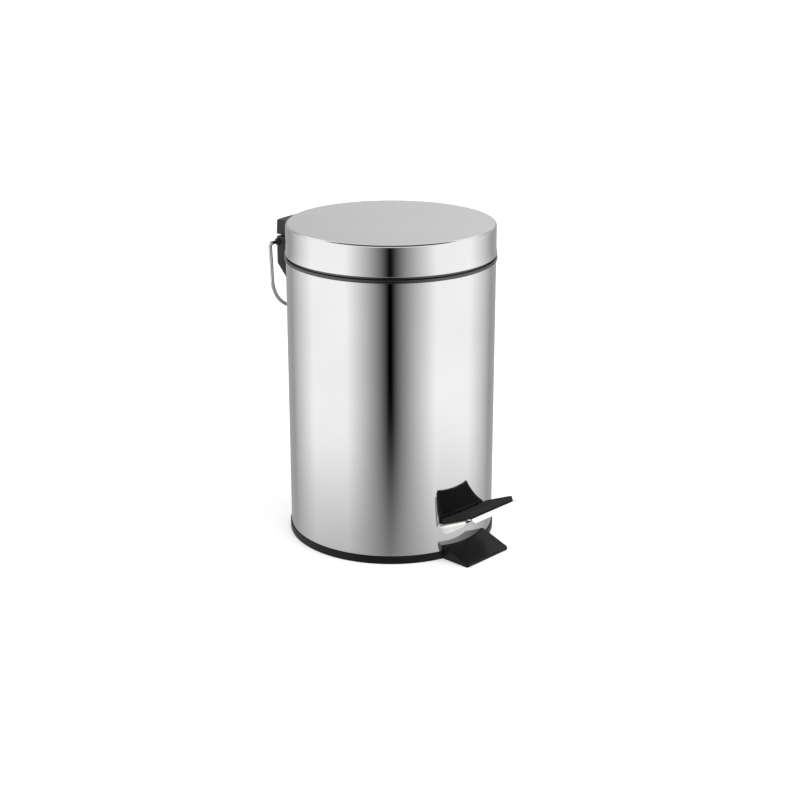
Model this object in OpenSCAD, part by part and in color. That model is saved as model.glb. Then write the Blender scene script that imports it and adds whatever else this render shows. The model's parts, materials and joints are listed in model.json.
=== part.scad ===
// Round steel pedal bin with a foot lever, a hinged lid and a lift-out bucket.
// Millimetres. The origin is on the bin's axis at floor level. +Z is up,
// the pedal points towards -Y and the lid's hinge is at +Y.

/* [Body] */
// Outer radius of the steel body
body_r = 84; // [83.9:0.1:84.1]
// Height of the body's lower edge above the floor
body_bottom = 6.2; // [6:0.1:6.4]
// Height of the body's upper edge above the floor
body_top = 230.1; // [229.9:0.1:230.1]
// Thickness of the steel sheet in the body and the lid
sheet_t = 0.6; // [0.5:0.1:0.6]

/* [Lid] */
// Height of the lid's lower rim above the floor
lid_bottom = 234.4; // [234.3:0.1:234.6]
// Height of the lid's flat top above the floor
lid_top = 258.9; // [258.5:0.1:260]
// Radius of the rounded edge between the lid's top and its side
lid_edge_r = 2.5; // [1.5:0.1:3]

/* [Hinge] */
// Distance of the lid's hinge axis behind the bin's axis
hinge_y = 101; // [100.9:0.1:101]
// Height of the lid's hinge axis
hinge_z = 231.4; // [231.3:0.1:231.5]
// Half the width of the plastic hinge blocks
hinge_half_w = 30; // [29.5:0.5:31]
// Outer radius of the hinge blocks about the bin's axis
hinge_outer_r = 107; // [106.8:0.1:107.5]
// Radius of the hinge pin
hinge_pin_r = 1.5; // [1.4:0.1:1.5]

/* [Carry handle] */
// Half the width of the wire handle, measured at its upper bends
bail_half_w = 38.8; // [38:0.1:39]
// Height of the hanging handle's lowest wire
bail_bottom = 173.6; // [172:0.1:176]
// Radius of the handle's wire
bail_wire_r = 1.6; // [1.5:0.05:1.6]

/* [Pedal] */
// Upward tilt of the pedal plate at rest, in degrees
pedal_tilt = 23.8; // [23.5:0.1:24]
// Half the width of the pressed pedal plate
plate_half_w = 29.3; // [29:0.1:29.5]
// Thickness of the pedal plate
plate_t = 1.2; // [1:0.1:1.2]
// Thickness of the rubber pad
pad_t = 4.2; // [3.5:0.1:4.4]
// Half the width of the rubber pad
pad_half_w = 26.6; // [26:0.1:27]
// Distance of the lever's pivot in front of the bin's axis
pivot_y = 64; // [63.9:0.1:64.1]
// Height of the lever's pivot
pivot_z = 20.4; // [20.3:0.1:20.5]

/* [Bucket] */
// Outer radius of the bucket at its floor
bucket_bottom_r = 65.5; // [65:0.1:66]
// Outer radius of the bucket just under its rim
bucket_top_r = 70.8; // [70:0.1:71]
// Wall thickness of the bucket
bucket_t = 1.5; // [1.2:0.1:1.8]

/* [Hidden] */

steel = [0.78, 0.78, 0.79];
bright = [0.90, 0.90, 0.89];
black = [0.08, 0.08, 0.085];
rubber = [0.06, 0.06, 0.065];
grey = [0.35, 0.36, 0.37];

// Gap between faces of one body that meet, and the running gap of a pin
face_gap = 0.15;
run_gap = 0.05;

// Collar and base walls that plug into the steel body
plug_outer_r = body_r - 1.8;
plug_inner_r = plug_outer_r - 1.8;
lip_w = 1.6;
collar_flange_r = body_r + 1;
collar_flange_t = 2.5;
collar_lip_top = 238;
base_ring_r = body_r + 0.9;
base_floor_bottom = 1.6;
centre_foot_r = 15;
base_floor_top = 3.2;
seat_ring_r = 64.5;
seat_top = 39.9;

// Foot plate that stands out of the base under the pedal
tongue_half_w = 25;
tongue_front = 107.5;
tongue_front_h = 2.8;
tongue_rear = 80;
tongue_rear_h = 11.6;
tongue_corner_r = 2;

// Lift link between the lid and the lever
rod_y = 81.3;
rod_r = 1.5;
arm_angle = 37.5;
arm_len = (hinge_y - rod_y) / cos(arm_angle);
arm_end_z = hinge_z - arm_len * sin(arm_angle);
arm_end_r = 3.2;
arm_root_r = 4.9;
knuckle_half_w = 10;
fork_tilt = 4.88;
lever_t = 2;
lever_half_w = 8;
lever_rear_y = 82;
fork_half_gap = 2;
window_bottom = 23.6;
channel_bottom = 211.5;
window_h = 9.6;
pivot_pin_r = 2;
post_r = 5;
post_x = 11.3;
pillar_r = 3.2;
pillar_x = 17.5;
rod_stop_r = 3.2;
rod_stop_t = 1.2;
rod_flat = 1.3;
rod_clear = 1.5;
seat_slot_w = 46;
seat_slot_h = 32;
lift_pin_r = 1.2;

// Wire handle: legs lean inwards by this angle and end in round lower corners
bail_lean = 3;
bail_corner_r = 27;
bail_top_bend_r = 3;

// Screws and rivets
screw_r = 1.5;
screw_head_r = 3;
screw_x = 18;
lid_screw_z = 245;
housing_screw_z = 215;

$fn = 96;

// Points along an arc in a plane, from angle a0 to a1
function arc(cx, cy, r, a0, a1, n) =
  [for (i = [0:n]) [cx + r * cos(a0 + (a1 - a0) * i / n), cy + r * sin(a0 + (a1 - a0) * i / n)]];

// Unit vector square to the line from p to q
function side(p, q) = [p[1] - q[1], q[0] - p[0]] / norm(q - p);

// Outline drawn in (Y, Z) and pushed out along X, from x0 to x1
module along_x(x0, x1) {
  translate([x0, 0, 0])
    rotate([90, 0, 90])
      linear_extrude(x1 - x0)
        children();
}

// Round bar along X, centred at y and z
module bar_x(r, x0, x1, y, z) {
  translate([x0, y, z])
    rotate([0, 90, 0])
      cylinder(r = r, h = x1 - x0);
}

// Round bar along +Y, starting at y0
module bar_y(r, x, y0, y1, z) {
  translate([x, y0, z])
    rotate([-90, 0, 0])
      cylinder(r = r, h = y1 - y0);
}

// Flat link with round ends in the (Y, Z) plane
module link_2d(p, rp, q, rq) {
  n = side(p, q);
  translate(p)
    circle(r = rp);
  translate(q)
    circle(r = rq);
  polygon([p + n * rp, q + n * rq, q - n * rq, p - n * rp]);
}

// Rectangle with rounded corners, centred in X, from y0 to y1
module rounded_plan(half_w, y0, y1, r) {
  for (sx = [-1, 1])
    translate([sx * (half_w - r), y0 + r])
      circle(r = r);
  for (sx = [-1, 1])
    translate([sx * (half_w - r), y1 - r])
      circle(r = r);
  translate([-half_w + r, y0])
    square([2 * (half_w - r), y1 - y0]);
  translate([-half_w, y0 + r])
    square([2 * half_w, y1 - y0 - 2 * r]);
}

// Children drawn with the pedal's own axes: -Y outwards along the plate,
// +Z square to it, and the origin on the plate's top face
module on_pedal() {
  translate([0, -80, 30.1])
    rotate([-pedal_tilt, 0, 0])
      children();
}

module body_shell() {
  r_in = body_r - sheet_t;
  r_lip = body_r - lip_w;
  color(steel)
    difference() {
      rotate_extrude()
        polygon(concat(
          [[r_lip, body_bottom], [body_r - 0.6, body_bottom]],
          arc(body_r - 0.6, body_bottom + 0.6, 0.6, -90, 0, 4),
          arc(body_r - 0.6, body_top - 0.6, 0.6, 0, 90, 4),
          [[r_lip, body_top], [r_lip, body_top - sheet_t], [r_in, body_top - sheet_t],
           [r_in, body_bottom + sheet_t], [r_lip, body_bottom + sheet_t]]
        ));
      // Window for the pedal lever
      translate([-lever_half_w - 1, -body_r - 5, window_bottom])
        cube([2 * lever_half_w + 2, 10, window_h]);
      // Lower lip is cut back behind the lift rod
      translate([-lever_half_w - rod_clear, body_r - 5, body_bottom - 1])
        cube([2 * (lever_half_w + rod_clear), 4.3, 2.5]);
      // Notch for the lid's lift arm
      translate([-6.5, body_r - 8, arm_end_z - 5.3])
        cube([13, 16, body_top]);
      for (sx = [-1, 1])
        bar_y(screw_r + run_gap, sx * screw_x, 70, 90, housing_screw_z);
    }
}

module base() {
  color(black)
    difference() {
      union() {
        // Outer ring, plug wall and floor
        rotate_extrude()
          polygon([
            [0, 0], [centre_foot_r, 0], [centre_foot_r + 1, base_floor_bottom],
            [plug_inner_r - 1, base_floor_bottom], [plug_inner_r, 0],
            [base_ring_r - 0.5, 0], [base_ring_r, 0.5], [base_ring_r, body_bottom - 0.6],
            [base_ring_r - 0.5, body_bottom], [plug_outer_r, body_bottom], [plug_outer_r, 15.2],
            [plug_outer_r - 0.6, 16], [plug_inner_r, 16], [plug_inner_r, base_floor_top],
            [0, base_floor_top]
          ]);
        tongue();
        // Bearing posts of the lever's pivot pin
        for (sx = [-1, 1])
          along_x(sx * post_x - 2.2, sx * post_x + 2.2) {
            translate([-pivot_y - post_r, base_floor_top - 0.5])
              square([2 * post_r, pivot_z - base_floor_top + 0.5]);
            translate([-pivot_y, pivot_z])
              circle(r = post_r);
          }
        // Screw pillars of the pivot caps
        for (sx = [-1, 1])
          translate([sx * pillar_x, -pivot_y, base_floor_top - 0.5])
            cylinder(r = pillar_r, h = pivot_z - base_floor_top + 0.5);
      }
      bar_x(pivot_pin_r + run_gap, -14, 14, -pivot_y, pivot_z);
      for (sx = [-1, 1])
        translate([sx * pillar_x, -pivot_y, 5])
          cylinder(r = 1.2, h = 20);
      // Room for the lower end of the lift rod and the lever's fork
      translate([-lever_half_w - rod_clear, plug_inner_r - 4, base_floor_top])
        cube([2 * (lever_half_w + rod_clear), 7, 20]);
    }
}

// Ring on the base's floor that carries the bucket, with ribs out to the plug wall
module bucket_seat() {
  seat_bottom = base_floor_top + face_gap / 2;
  color(black)
    difference() {
      union() {
        translate([0, 0, seat_bottom])
          difference() {
            cylinder(r = seat_ring_r, h = seat_top - seat_bottom);
            translate([0, 0, -1])
              cylinder(r = seat_ring_r - 2.2, h = 60);
          }
        for (a = [0:30:330])
          if (a != 90 && a != 270)
            rotate([0, 0, a])
              translate([seat_ring_r - 1, -0.8, seat_bottom + 0.4])
                cube([plug_inner_r - seat_ring_r + 1 - face_gap, 1.6, 10.6]);
      }
      // The bearing fits under the ring in front, and the lever goes through it behind
      translate([-seat_slot_w / 2, -seat_ring_r - 10, 0])
        cube([seat_slot_w, 20, seat_slot_h]);
      translate([-lever_half_w - 2, seat_ring_r - 10, 0])
        cube([2 * lever_half_w + 4, 20, 60]);
    }
}

module tongue() {
  difference() {
    intersection() {
      along_x(-tongue_half_w, tongue_half_w)
        polygon([
          [-tongue_rear, 0], [-tongue_front + 0.5, 0], [-tongue_front, 0.5],
          [-tongue_front, tongue_front_h - 0.8], [-tongue_front + 0.8, tongue_front_h],
          [-tongue_rear, tongue_rear_h]
        ]);
      linear_extrude(30)
        rounded_plan(tongue_half_w, -tongue_front, -tongue_rear + 6, tongue_corner_r);
    }
    translate([0, 0, body_bottom])
      cylinder(r = body_r + face_gap, h = 30);
    translate([0, 0, -1])
      cylinder(r = plug_outer_r - 1, h = body_bottom + 2);
  }
}

module top_collar() {
  flange_top = body_top + collar_flange_t;
  color(black)
    difference() {
      rotate_extrude()
        polygon(concat(
          [[plug_inner_r, 222], [plug_outer_r - 0.5, 222], [plug_outer_r, 222.6],
           [plug_outer_r, body_top], [collar_flange_r - 0.4, body_top],
           [collar_flange_r, body_top + 0.4]],
          arc(collar_flange_r - 0.9, flange_top - 0.9, 0.9, 0, 90, 5),
          [[plug_outer_r + 0.4, flange_top], [plug_outer_r + 0.4, collar_lip_top - 0.5],
           [plug_outer_r - 0.1, collar_lip_top], [plug_inner_r, collar_lip_top]]
        ));
      // Notch for the lid's lift arm
      translate([-6.5, body_r - 10, 200])
        cube([13, 20, 50]);
    }
}

// Outer shape of the lower hinge block, drawn in (Y, Z)
module housing_profile() {
  translate([hinge_y, hinge_z])
    circle(r = arm_root_r);
  polygon([
    [76, 181], [84, 189.5], [88.2, 194.6], [90.8, 199.4], [93.6, 203.6], [98.6, 208.8], [103, 213.2],
    [hinge_outer_r, 217.6], [hinge_outer_r, hinge_z - 3.4], [hinge_y + arm_root_r, hinge_z],
    [hinge_y, hinge_z + arm_root_r], [76, hinge_z + arm_root_r]
  ]);
}

module hinge_housing() {
  color(black)
    difference() {
      intersection() {
        along_x(-hinge_half_w, hinge_half_w)
          housing_profile();
        cylinder(r = hinge_outer_r, h = 300);
      }
      // Front face follows the body, the collar and the lid
      cylinder(r = body_r + face_gap, h = 300);
      translate([0, 0, body_top - 0.3])
        cylinder(r = collar_flange_r + face_gap, h = 100);
      translate([0, 0, body_top + collar_flange_t])
        cylinder(r = body_r + 2.8, h = 100);
      // Channel for the knuckle and the lift arm
      translate([-knuckle_half_w - 0.4, 80, channel_bottom])
        cube([2 * knuckle_half_w + 0.8, 19, 60]);
      translate([-knuckle_half_w - 0.4, 80, hinge_z - arm_root_r - 4])
        cube([2 * knuckle_half_w + 0.8, 23, 60]);
      translate([-knuckle_half_w - 0.4, 80, hinge_z - arm_root_r - 0.5])
        cube([2 * knuckle_half_w + 0.8, 40, 60]);
      // Hollows on both sides, open towards the body, with a screw boss in each
      for (sx = [-1, 1])
        difference() {
          along_x(sx * 20.2 - 7.3, sx * 20.2 + 7.3)
            polygon([[72, 196], [82, 198], [88, 203.4], [94, 209], [100.5, 216.5], [100.5, 225], [72, 225]]);
          bar_y(3.6, sx * screw_x, 72, 102, housing_screw_z);
        }
      for (sx = [-1, 1])
        bar_y(screw_r + run_gap, sx * screw_x, 80, 96, housing_screw_z);
      // Stepped bore: hinge pin inside, handle ends outside
      bar_x(hinge_pin_r + run_gap, -25.2, 25.2, hinge_y, hinge_z);
      for (x = [-40, 25.2])
        bar_x(bail_wire_r + 0.08, x, x + 14.8, hinge_y, hinge_z);
    }
}

module housing_screws() {
  y_wall = sqrt(pow(body_r - sheet_t, 2) - pow(screw_x + screw_head_r, 2));
  color(steel)
    for (sx = [-1, 1]) {
      bar_y(screw_r, sx * screw_x, y_wall - 1, 95.5, housing_screw_z);
      pan_head(sx * screw_x, y_wall - 0.05, housing_screw_z);
    }
}

// Screw head with a cross recess, facing -Y, with its seat at y
module pan_head(x, y, z) {
  translate([x, y, z])
    rotate([90, 0, 0])
      difference() {
        rotate_extrude()
          polygon(concat([[0, 0], [screw_head_r, 0]], arc(screw_head_r - 1.2, 0.8, 1.2, 0, 90, 5), [[0, 2]]));
        for (a = [0, 90])
          rotate([0, 0, a])
            translate([-1.6, -0.35, 1])
              cube([3.2, 0.7, 2]);
      }
}

module hinge_pin() {
  color(steel)
    bar_x(hinge_pin_r, -25, 25, hinge_y, hinge_z);
}

module lever_pivot_pin() {
  color(steel)
    bar_x(pivot_pin_r, -13.3, 13.3, -pivot_y, pivot_z);
}

// Small plastic straps over the pin's ends, screwed to the base
module pivot_caps() {
  cap_z = pivot_z + 5.1;
  color(grey)
    for (sx = [-1, 1])
      difference() {
        translate([sx * 14.6, -pivot_y, 0])
          union() {
            translate([-6.2, -5, cap_z])
              cube([12.4, 10, 2]);
            translate([sx * 2.9 - 3.2, -3.2, pivot_z + 0.1])
              cube([6.4, 6.4, 7]);
          }
        translate([sx * pillar_x, -pivot_y, 0])
          cylinder(r = 1.3, h = 40);
      }
}

module pivot_cap_screws() {
  color(steel)
    for (sx = [-1, 1])
      translate([sx * pillar_x, -pivot_y, 0]) {
        translate([0, 0, 6])
          cylinder(r = 1.1, h = pivot_z + 1.2);
        translate([0, 0, pivot_z + 7.15])
          difference() {
            cylinder(r = 2.4, h = 1.4);
            translate([-3, -0.3, 0.8])
              cube([6, 0.6, 2]);
          }
      }
}

module lid_shell() {
  r_top = body_r;
  r_rim = body_r + 0.8;
  edge_z = lid_top - lid_edge_r;
  color(steel)
    difference() {
      rotate_extrude()
        polygon(concat(
          [[0, lid_top - sheet_t], [0, lid_top]],
          arc(r_top - lid_edge_r, edge_z, lid_edge_r, 90, 0, 8),
          [[r_top + 0.1, lid_bottom + 5], [r_rim - 0.2, lid_bottom + 1.6], [r_rim, lid_bottom + 0.8],
           [r_rim - 0.3, lid_bottom], [r_rim - 1, lid_bottom], [r_top - sheet_t + 0.1, lid_bottom + 5]],
          arc(r_top - lid_edge_r, edge_z, lid_edge_r - sheet_t, 0, 90, 8)
        ));
      for (sx = [-1, 1])
        bar_y(screw_r + run_gap, sx * screw_x, 70, 90, lid_screw_z);
    }
}

// Plastic inner lid that stiffens the steel cap
module lid_liner() {
  r_out = body_r - sheet_t - 0.1;
  top = lid_top - sheet_t - 0.05;
  color(black)
    difference() {
      rotate_extrude()
        polygon([
          [0, top - 1.4], [0, top], [r_out - 2.4, top], [r_out, top - 2.6], [r_out, 240.2],
          [r_out - 0.6, 239.6], [plug_inner_r + 0.6, 239.6], [plug_inner_r, 240.2],
          [plug_inner_r - 1.2, top - 3.4], [plug_inner_r - 4, top - 1.4]
        ]);
      for (sx = [-1, 1])
        bar_y(screw_r + run_gap, sx * screw_x, 60, 90, lid_screw_z);
    }
}

// Three soft stops under the inner lid
module lid_bumpers() {
  color(rubber)
    for (a = [-90, 30, 150])
      rotate([0, 0, a])
        translate([plug_outer_r - 0.6, 0, collar_lip_top + 0.06])
          intersection() {
            cylinder(r = 3, h = 1.5);
            translate([-1.2, -5, 0])
              cube([2.2, 10, 1.5]);
          }
}

module lid_hinge_block() {
  h = [hinge_y, hinge_z];
  e = [rod_y, arm_end_z];
  block_z = hinge_z + 6.2;
  color(black)
    difference() {
      union() {
        difference() {
          union() {
            difference() {
              intersection() {
                along_x(-hinge_half_w, hinge_half_w)
                  polygon([[74, block_z], [hinge_outer_r + 1, block_z], [hinge_outer_r + 1, 248.6],
                           [hinge_outer_r - 1.4, 250], [74, 250]]);
                translate([0, 0, block_z - 1])
                  cylinder(r1 = hinge_outer_r + 0.3, r2 = hinge_outer_r - 0.6, h = 14);
              }
              // Hollow above the underside, open towards the lid
              for (sx = [-1, 1])
                difference() {
                  translate([sx * 20.2 - 7.3, 72, block_z + 1.8])
                    cube([14.6, 28, 8.4]);
                  bar_y(3.4, sx * screw_x, 72, 104, lid_screw_z);
                }
            }
            // Knuckle on the hinge pin
            along_x(-knuckle_half_w, knuckle_half_w) {
              translate(h)
                circle(r = arm_root_r);
              translate([hinge_y - 5, hinge_z])
                square([5 + arm_root_r, 6.6]);
            }
          }
          // The block and the knuckle stay clear of the body, the collar and the lid
          cylinder(r = body_r + 0.95, h = hinge_z + 5);
          translate([0, 0, block_z - 0.2])
            cylinder(r = body_r + 0.75, h = 40);
        }
        // Two lift arms reach inside the body and straddle the rod's eye
        for (sx = [-1, 1])
          along_x(sx * 3.45 - 1.35, sx * 3.45 + 1.35)
            link_2d(h, arm_root_r, e, arm_end_r);
        along_x(-3, 3)
          link_2d(h, arm_root_r, h + (e - h) * 0.5, 4);
      }
      bar_x(hinge_pin_r + run_gap, -40, 40, hinge_y, hinge_z);
      bar_x(lift_pin_r + run_gap, -40, 40, rod_y, arm_end_z);
      for (sx = [-1, 1])
        bar_y(screw_r + run_gap, sx * screw_x, 60, 97, lid_screw_z);
    }
}

module lid_screws() {
  y_wall = sqrt(pow(plug_inner_r - 1, 2) - pow(screw_x + screw_head_r, 2));
  color(steel)
    for (sx = [-1, 1]) {
      bar_y(screw_r, sx * screw_x, y_wall - 1, 96.5, lid_screw_z);
      pan_head(sx * screw_x, y_wall - 0.05, lid_screw_z);
    }
}

module lift_pin() {
  color(steel)
    bar_x(lift_pin_r, -4.8, 4.8, rod_y, arm_end_z);
}

// Vertical push rod with a flat eye at its upper end
module lift_rod() {
  rod_bottom = 4.1;
  color(steel)
    difference() {
      union() {
        translate([0, rod_y, rod_bottom])
          cylinder(r = rod_r, h = arm_end_z - 3 - rod_bottom);
        along_x(-1.8, 1.8)
          translate([rod_y, arm_end_z])
            circle(r = arm_end_r);
      }
      bar_x(lift_pin_r + run_gap, -5, 5, rod_y, arm_end_z);
    }
}

// Washers pressed on the rod above and below the lever's fork
module rod_stops() {
  fork_z = pivot_z - (rod_y + pivot_y) * tan(fork_tilt);
  color(bright)
    for (z = [fork_z + lever_t / 2 + 1.9, fork_z - lever_t / 2 - 2.8])
      translate([0, rod_y, z])
        difference() {
          cylinder(r = rod_stop_r, h = rod_stop_t);
          translate([0, 0, -1])
            cylinder(r = rod_r + 0.01, h = 4);
          // Flat side towards the body's wall
          translate([-4, rod_flat, -1])
            cube([8, 4, 4]);
        }
}

// Centre line of the lever strip in (Y, Z), from the fork to the pedal
lever_line = [
  [lever_rear_y, pivot_z - (lever_rear_y + pivot_y) * tan(fork_tilt)],
  [-pivot_y, pivot_z],
  [-79.06, 27.3],
  [-104.7, 38.6]
];

module pedal_lever() {
  upper = [for (p = lever_line) p + [0, lever_t / 2]];
  lower = [for (i = [len(lever_line) - 1:-1:0]) lever_line[i] - [0, lever_t / 2]];
  color(bright)
    difference() {
      union() {
        along_x(-lever_half_w, lever_half_w) {
          polygon(concat(upper, lower));
          translate([-pivot_y, pivot_z])
            circle(r = 3.8);
        }
        // Stiffening flanges along both edges
        for (sx = [-1, 1])
          along_x(sx * (lever_half_w - 0.6) - 0.6, sx * (lever_half_w - 0.6) + 0.6)
            polygon([[60, 10.4], [60, 12.4], [-pivot_y + 4, pivot_z + 3.4], [-pivot_y - 2, pivot_z + 4.2],
                     [-74, 27.4], [-74, 25.5], [-pivot_y, pivot_z]]);
      }
      bar_x(pivot_pin_r + run_gap, -20, 20, -pivot_y, pivot_z);
      // Fork round the lift rod
      translate([-fork_half_gap, 66, 0])
        cube([2 * fork_half_gap, 40, 30]);
      pedal_rivet_holes();
    }
}

rivet_s = [7, 20];
rivet_r = 1.6;

module pedal_rivet_holes() {
  on_pedal()
    for (s = rivet_s)
      translate([0, -s, -8])
        cylinder(r = rivet_r + run_gap, h = 8.1);
}

module pedal_rivets() {
  color(bright)
    on_pedal()
      for (s = rivet_s)
        translate([0, -s, 0]) {
          translate([0, 0, -4.4])
            cylinder(r = rivet_r, h = 4.3);
          translate([0, 0, -4.9])
            cylinder(r = 2.8, h = 1.1);
        }
}

// Side cheek of the pedal plate in its own (outwards, up) plane
module cheek_profile() {
  polygon(concat(
    [[1.2, 0]],
    arc(9, -0.4, 7.4, 180, 275, 10),
    [[16.5, -6.8], [22.6, -5.6], [27.6, -4.6]],
    arc(28.8, -3.2, 1.6, -80, 0, 4),
    [[30.4, 0]]
  ));
}

module pedal_plate() {
  s_front = 36.5;
  color(bright)
    difference() {
      on_pedal() {
        // Top of the plate
        translate([0, 0, -plate_t])
          linear_extrude(plate_t)
            rounded_plan(plate_half_w, -s_front, 6, 2.4);
        // Cheeks at both sides
        for (sx = [-1, 1])
          translate([sx * (plate_half_w - plate_t / 2), 0, 0])
            rotate([90, 0, -90])
              translate([0, 0, -plate_t / 2])
                linear_extrude(plate_t)
                  cheek_profile();
        // Flange turned down along the front edge
        translate([0, -s_front + plate_t, 0])
          rotate([90, 0, 0])
            linear_extrude(plate_t)
              rounded_plan(plate_half_w - 1.2, -4.2, 0, 1.6);
      }
      // Rear edge follows the body
      cylinder(r = body_r + 0.9, h = 80);
      pedal_rivet_holes();
    }
}

module pedal_pad() {
  s_front = 33.8;
  color(rubber)
    difference() {
      on_pedal()
        intersection() {
          linear_extrude(pad_t)
            rounded_plan(pad_half_w, -s_front, 8, 1);
          along_x(-pad_half_w, pad_half_w)
            polygon([[10, 0], [-s_front, 0], [-s_front, pad_t - 1], [1 - s_front, pad_t], [10, pad_t]]);
        }
      cylinder(r = body_r + 0.8, h = 80);
    }
}

// Route of the carry handle's wire in (X, Z), from one pin round to the other
function handle_half() =
  let (
    bend = [bail_half_w - bail_top_bend_r * cos(bail_lean), hinge_z - bail_top_bend_r],
    leg_x = bail_half_w,
    leg_z = bend[1] - bail_top_bend_r * sin(bail_lean),
    corner_z = bail_bottom + bail_corner_r,
    end_z = corner_z - bail_corner_r * sin(bail_lean),
    corner_x = leg_x - (leg_z - end_z) * tan(bail_lean) - bail_corner_r * cos(bail_lean)
  )
  concat(
    [[25.4, hinge_z]],
    arc(bend[0], bend[1], bail_top_bend_r, 90, -bail_lean, 6),
    arc(corner_x, corner_z, bail_corner_r, -bail_lean, -90, 13)
  );

handle_route = let (h = handle_half(), n = len(h))
  concat(h, [for (i = [n - 1:-1:0]) [-h[i][0], h[i][1]]]);

// Round wire swept along a route that lies in an upright plane at y
module upright_wire(route, r, y, sides) {
  n = len(route);
  tangents = [for (i = [0:n - 1]) let (d = route[min(i + 1, n - 1)] - route[max(i - 1, 0)]) d / norm(d)];
  points = [for (i = [0:n - 1], k = [0:sides - 1])
    let (a = 360 * k / sides, t = tangents[i])
      [route[i][0] - r * cos(a) * t[1], y + r * sin(a), route[i][1] + r * cos(a) * t[0]]];
  walls = [for (i = [0:n - 2], k = [0:sides - 1])
    let (a = i * sides + k, b = i * sides + (k + 1) % sides)
      [a, b, b + sides, a + sides]];
  caps = [[for (k = [sides - 1:-1:0]) k], [for (k = [0:sides - 1]) (n - 1) * sides + k]];
  polyhedron(points, concat(walls, caps), convexity = 4);
}

module carry_handle() {
  color(bright)
    upright_wire(handle_route, bail_wire_r, hinge_y, 14);
}

bucket_floor = 40;
bucket_rim_z = 222;
bucket_handle_z = 213;
bucket_handle_r = 76.6;
bucket_wire_r = 1.2;
handle_droop = 14;

module bucket() {
  color(grey)
    difference() {
      union() {
        rotate_extrude()
          polygon(concat(
            [[0, bucket_floor + 1.2], [0, bucket_floor + 2.8], [bucket_bottom_r - 4, bucket_floor + 2.8],
             [bucket_bottom_r - bucket_t, bucket_floor + 5], [bucket_top_r - bucket_t, bucket_rim_z - 0.8],
             [bucket_top_r - bucket_t + 0.8, bucket_rim_z], [71.5, bucket_rim_z]],
            arc(71.5, bucket_rim_z - 0.8, 0.8, 90, 0, 4),
            [[72.3, bucket_rim_z - 4], [71.4, bucket_rim_z - 4], [71.2, bucket_rim_z - 1.5],
             [bucket_top_r, bucket_rim_z - 1.5], [bucket_bottom_r, bucket_floor + 2.5]],
            arc(bucket_bottom_r - 2, bucket_floor + 2, 2, 0, -90, 5),
            [[bucket_bottom_r - 6, bucket_floor], [bucket_bottom_r - 7.2, bucket_floor + 1.2]]
          ));
        for (sx = [-1, 1])
          bar_x(4, sx * 71.9 - 3.3, sx * 71.9 + 3.3, 0, bucket_handle_z);
      }
      translate([0, 0, bucket_floor + 5])
        cylinder(r1 = bucket_bottom_r - bucket_t, r2 = bucket_top_r - bucket_t + 0.15, h = 180);
      for (sx = [-1, 1])
        bar_x(bucket_wire_r + 0.08, sx * 74 - 6, sx * 74 + 6, 0, bucket_handle_z);
    }
}

// Half-round wire that lies folded outside the bucket's rim
module bucket_handle() {
  color(bright)
    translate([0, 0, bucket_handle_z])
      rotate([handle_droop, 0, 0]) {
        rotate([0, 0, 180])
          rotate_extrude(angle = 180)
            translate([bucket_handle_r, 0])
              circle(r = bucket_wire_r, $fn = 24);
        for (sx = [-1, 1])
          bar_x(bucket_wire_r, sx * 73.3 - 3.3, sx * 73.3 + 3.3, 0, 0);
      }
}

// Plastic tube in the middle of the bucket's wire handle
module bucket_grip() {
  color(black)
    translate([0, 0, bucket_handle_z])
      rotate([handle_droop, 0, 0])
        rotate([0, 0, 270 - 17])
          rotate_extrude(angle = 34)
            translate([bucket_handle_r, 0])
              difference() {
                circle(r = 3, $fn = 32);
                circle(r = bucket_wire_r + 0.02, $fn = 32);
              }
}

body_shell();
base();
bucket_seat();
top_collar();
hinge_housing();
housing_screws();
hinge_pin();
lever_pivot_pin();
pivot_caps();
pivot_cap_screws();
lid_shell();
lid_liner();
lid_bumpers();
lid_hinge_block();
lid_screws();
lift_pin();
lift_rod();
rod_stops();
pedal_lever();
pedal_plate();
pedal_pad();
pedal_rivets();
carry_handle();
bucket();
bucket_handle();
bucket_grip();
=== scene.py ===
"""Looks of the pedal bin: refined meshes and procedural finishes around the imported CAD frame."""

import json
import math

import bmesh
import bpy
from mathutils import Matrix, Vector


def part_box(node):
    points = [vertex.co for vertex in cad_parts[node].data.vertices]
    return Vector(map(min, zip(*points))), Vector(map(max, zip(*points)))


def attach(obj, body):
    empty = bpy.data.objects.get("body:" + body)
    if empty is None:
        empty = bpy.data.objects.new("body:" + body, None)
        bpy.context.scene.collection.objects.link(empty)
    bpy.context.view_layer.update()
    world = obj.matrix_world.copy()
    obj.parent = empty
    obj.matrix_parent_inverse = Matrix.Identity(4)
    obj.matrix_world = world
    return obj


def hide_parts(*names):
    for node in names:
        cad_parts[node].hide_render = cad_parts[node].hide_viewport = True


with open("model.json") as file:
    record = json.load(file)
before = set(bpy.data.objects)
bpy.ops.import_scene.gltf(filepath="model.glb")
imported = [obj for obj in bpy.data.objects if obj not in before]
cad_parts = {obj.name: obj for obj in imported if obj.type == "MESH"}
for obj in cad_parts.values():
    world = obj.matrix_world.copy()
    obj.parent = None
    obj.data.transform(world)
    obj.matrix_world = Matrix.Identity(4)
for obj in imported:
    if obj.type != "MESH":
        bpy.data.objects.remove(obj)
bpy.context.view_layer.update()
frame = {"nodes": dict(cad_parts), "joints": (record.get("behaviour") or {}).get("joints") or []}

MM = 0.001
JOINTS = {j["name"]: j for j in frame["joints"]}


def box_mm(node):
    """Lowest and highest corner of a CAD node, in millimetres."""
    return [Vector(c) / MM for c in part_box(node)]


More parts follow.
